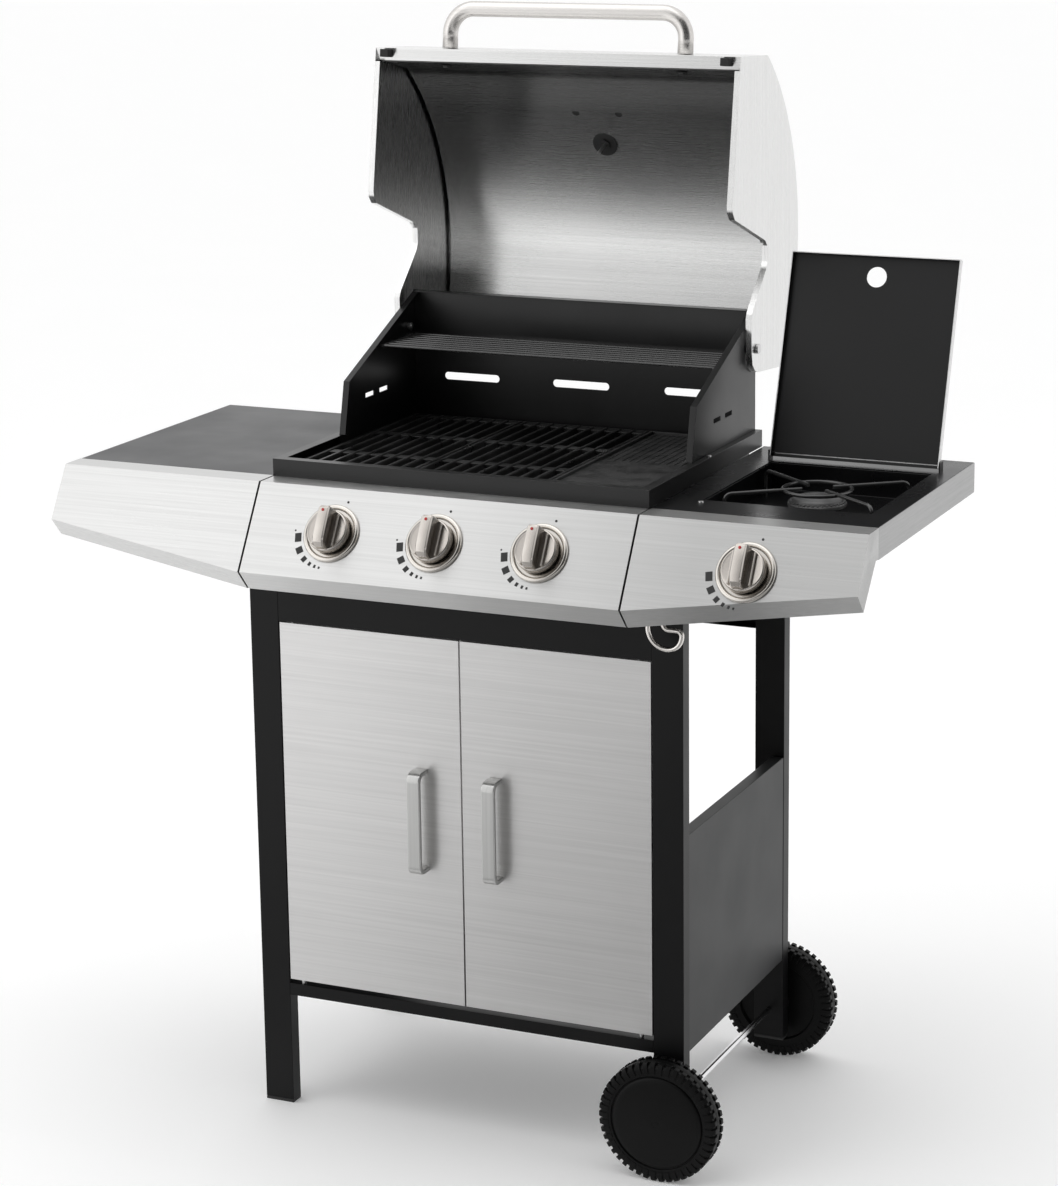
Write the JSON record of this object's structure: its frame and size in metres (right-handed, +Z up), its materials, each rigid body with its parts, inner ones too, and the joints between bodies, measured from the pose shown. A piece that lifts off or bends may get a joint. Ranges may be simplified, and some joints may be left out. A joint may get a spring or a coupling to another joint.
{
  "type": "gas barbecue grill",
  "caption": "Gas barbecue grill on a wheeled cabinet cart, with an open hood, grates and a griddle, two side shelves and a lidded side burner.",
  "frame": {"origin": "on the floor, under the middle of the whole grill's box with the hood open", "axes": "+X to the user's right along the front, +Y to the rear, +Z up"},
  "size_m": [1.068, 0.6222, 1.3981],
  "materials": {
    "black_paint": "satin black powder coat",
    "black_plastic": "matt",
    "grey_paint": "satin dark grey powder coat",
    "door_steel": "fine horizontal brushing, soft sheen",
    "handle_alloy": "satin",
    "zinc": "bright zinc plate",
    "chrome_rod": "bright",
    "wheel_plastic": "matt moulded tread, satin cap",
    "front_steel": "fine horizontal brushing",
    "shelf_grey": "satin grey powder coat",
    "tray_black": "satin black enamel",
    "box_black": "satin black heat-proof paint",
    "rack_wire": "black enamel wire",
    "cast_black": "matt black enamelled casting",
    "burner_steel": "mill finish",
    "brass": "machined",
    "knob_nickel": "satin nickel plate",
    "burner_iron": "cast, satin",
    "lid_paint": "satin black inside, brushed steel outside",
    "gas_tube": "polished tube",
    "hood_steel": "fine horizontal brushing",
    "handle_tube": "satin tube, lengthwise polish",
    "dial_steel": "satin",
    "bumper_rubber": "matt"
  },
  "bodies": {
    "root": {"leg_front_left": "black_paint", "leg_front_right": "black_paint", "leg_rear_left": "black_paint", "leg_rear_right": "black_paint", "leg_plugs": "black_plastic", "side_panel_left": "grey_paint", "side_panel_right": "grey_paint", "bottom_shelf": "black_paint", "front_apron": "black_paint", "rear_rail": "black_paint", "shelf_rails": "black_paint", "door_pins": "zinc", "axle": "chrome_rod", "control_panel": "front_steel", "fascia_left": "front_steel", "fascia_right": "front_steel", "shelf_left": "shelf_grey", "shelf_right": "tray_black", "shelf_bands": "front_steel", "cook_box": "box_black", "wall_left": "box_black", "wall_right": "box_black", "wall_rear": "box_black", "warming_rack": "rack_wire", "heat_plates": "burner_steel", "burners": "burner_steel", "manifold": "zinc", "valves": "brass", "bezels": "knob_nickel", "side_burner_tray": "tray_black", "side_burner": "burner_iron", "side_gas_tube": "gas_tube", "hood_bolts": "zinc"},
    "door_left": {"door_left": "door_steel", "door_handle_left": "handle_alloy"},
    "door_right": {"door_right": "door_steel", "door_handle_right": "handle_alloy"},
    "wheel_front": {"wheel_front": "wheel_plastic"},
    "wheel_rear": {"wheel_rear": "wheel_plastic"},
    "hood": {"hood_shell": "hood_steel", "hood_liner": "hood_steel", "hood_side_left": "hood_steel", "hood_side_right": "hood_steel", "hood_handle": "handle_tube", "thermometer": "dial_steel", "hood_bumpers": "bumper_rubber"},
    "side_lid": {"side_lid": "lid_paint"},
    "grate_left": {"grate_left": "cast_black"},
    "grate_middle": {"grate_middle": "cast_black"},
    "griddle": {"griddle": "cast_black"},
    "pan_support": {"pan_support": "rack_wire"},
    "grease_tray": {"grease_tray": "burner_steel"},
    "stem_left": {"stem_left": "zinc"},
    "knob_left": {"knob_left": "knob_nickel"},
    "stem_middle": {"stem_middle": "zinc"},
    "knob_middle": {"knob_middle": "knob_nickel"},
    "stem_right": {"stem_right": "zinc"},
    "knob_right": {"knob_right": "knob_nickel"},
    "stem_side": {"stem_side": "zinc"},
    "knob_side": {"knob_side": "knob_nickel"}
  },
  "joints": [
    {"name": "hood_hinge", "type": "hinge", "parent": "root", "child": "hood", "pos_m": [0, 0.154, 0.967], "axis": [-1, 0, 0], "range_deg": [-96.4, 0]},
    {"name": "side_lid_hinge", "type": "hinge", "parent": "root", "child": "side_lid", "pos_m": [0.399, 0.111, 0.8435], "axis": [-1, 0, 0], "range_deg": [-108, 0]},
    {"name": "door_left_hinge", "type": "hinge", "parent": "root", "child": "door_left", "pos_m": [-0.235, -0.198, 0.41], "axis": [0, 0, -1], "range_deg": [0, 110]},
    {"name": "door_right_hinge", "type": "hinge", "parent": "root", "child": "door_right", "pos_m": [0.235, -0.198, 0.41], "axis": [0, 0, 1], "range_deg": [0, 110]},
    {"name": "wheel_front_spin", "type": "hinge", "parent": "root", "child": "wheel_front", "pos_m": [0.273, -0.23, 0.077], "axis": [0, 1, 0], "continuous": true},
    {"name": "wheel_rear_spin", "type": "hinge", "parent": "root", "child": "wheel_rear", "pos_m": [0.273, 0.198, 0.077], "axis": [0, 1, 0], "continuous": true},
    {"name": "valve_left_turn", "type": "hinge", "parent": "root", "child": "stem_left", "pos_m": [-0.138, -0.2702, 0.786], "axis": [0, -0.856, 0.517], "range_deg": [0, 180]},
    {"name": "knob_left_push", "type": "slide", "parent": "stem_left", "child": "knob_left", "axis": [0, 0.856, -0.517], "range_m": [0, 0.003], "stiffness_N_per_m": 1500, "springref_m": -0.002},
    {"name": "valve_middle_turn", "type": "hinge", "parent": "root", "child": "stem_middle", "pos_m": [0, -0.2702, 0.786], "axis": [0, -0.856, 0.517], "range_deg": [0, 180]},
    {"name": "knob_middle_push", "type": "slide", "parent": "stem_middle", "child": "knob_middle", "axis": [0, 0.856, -0.517], "range_m": [0, 0.003], "stiffness_N_per_m": 1500, "springref_m": -0.002},
    {"name": "valve_right_turn", "type": "hinge", "parent": "root", "child": "stem_right", "pos_m": [0.138, -0.2702, 0.786], "axis": [0, -0.856, 0.517], "range_deg": [0, 180]},
    {"name": "knob_right_push", "type": "slide", "parent": "stem_right", "child": "knob_right", "axis": [0, 0.856, -0.517], "range_m": [0, 0.003], "stiffness_N_per_m": 1500, "springref_m": -0.002},
    {"name": "valve_side_turn", "type": "hinge", "parent": "root", "child": "stem_side", "pos_m": [0.397, -0.26917, 0.786], "axis": [0, -0.856, 0.517], "range_deg": [0, 180]},
    {"name": "knob_side_push", "type": "slide", "parent": "stem_side", "child": "knob_side", "axis": [0, 0.856, -0.517], "range_m": [0, 0.003], "stiffness_N_per_m": 1500, "springref_m": -0.002},
    {"name": "grate_left_lift", "type": "slide", "parent": "root", "child": "grate_left", "axis": [0, 0, 1], "range_m": [0, 0.08]},
    {"name": "grate_middle_lift", "type": "slide", "parent": "root", "child": "grate_middle", "axis": [0, 0, 1], "range_m": [0, 0.08]},
    {"name": "griddle_lift", "type": "slide", "parent": "root", "child": "griddle", "axis": [0, 0, 1], "range_m": [0, 0.08]},
    {"name": "pan_support_lift", "type": "slide", "parent": "root", "child": "pan_support", "axis": [0, 0, 1], "range_m": [0, 0.02]},
    {"name": "grease_tray_slide", "type": "slide", "parent": "root", "child": "grease_tray", "axis": [0, 1, 0], "range_m": [0, 0.2]}
  ]
}
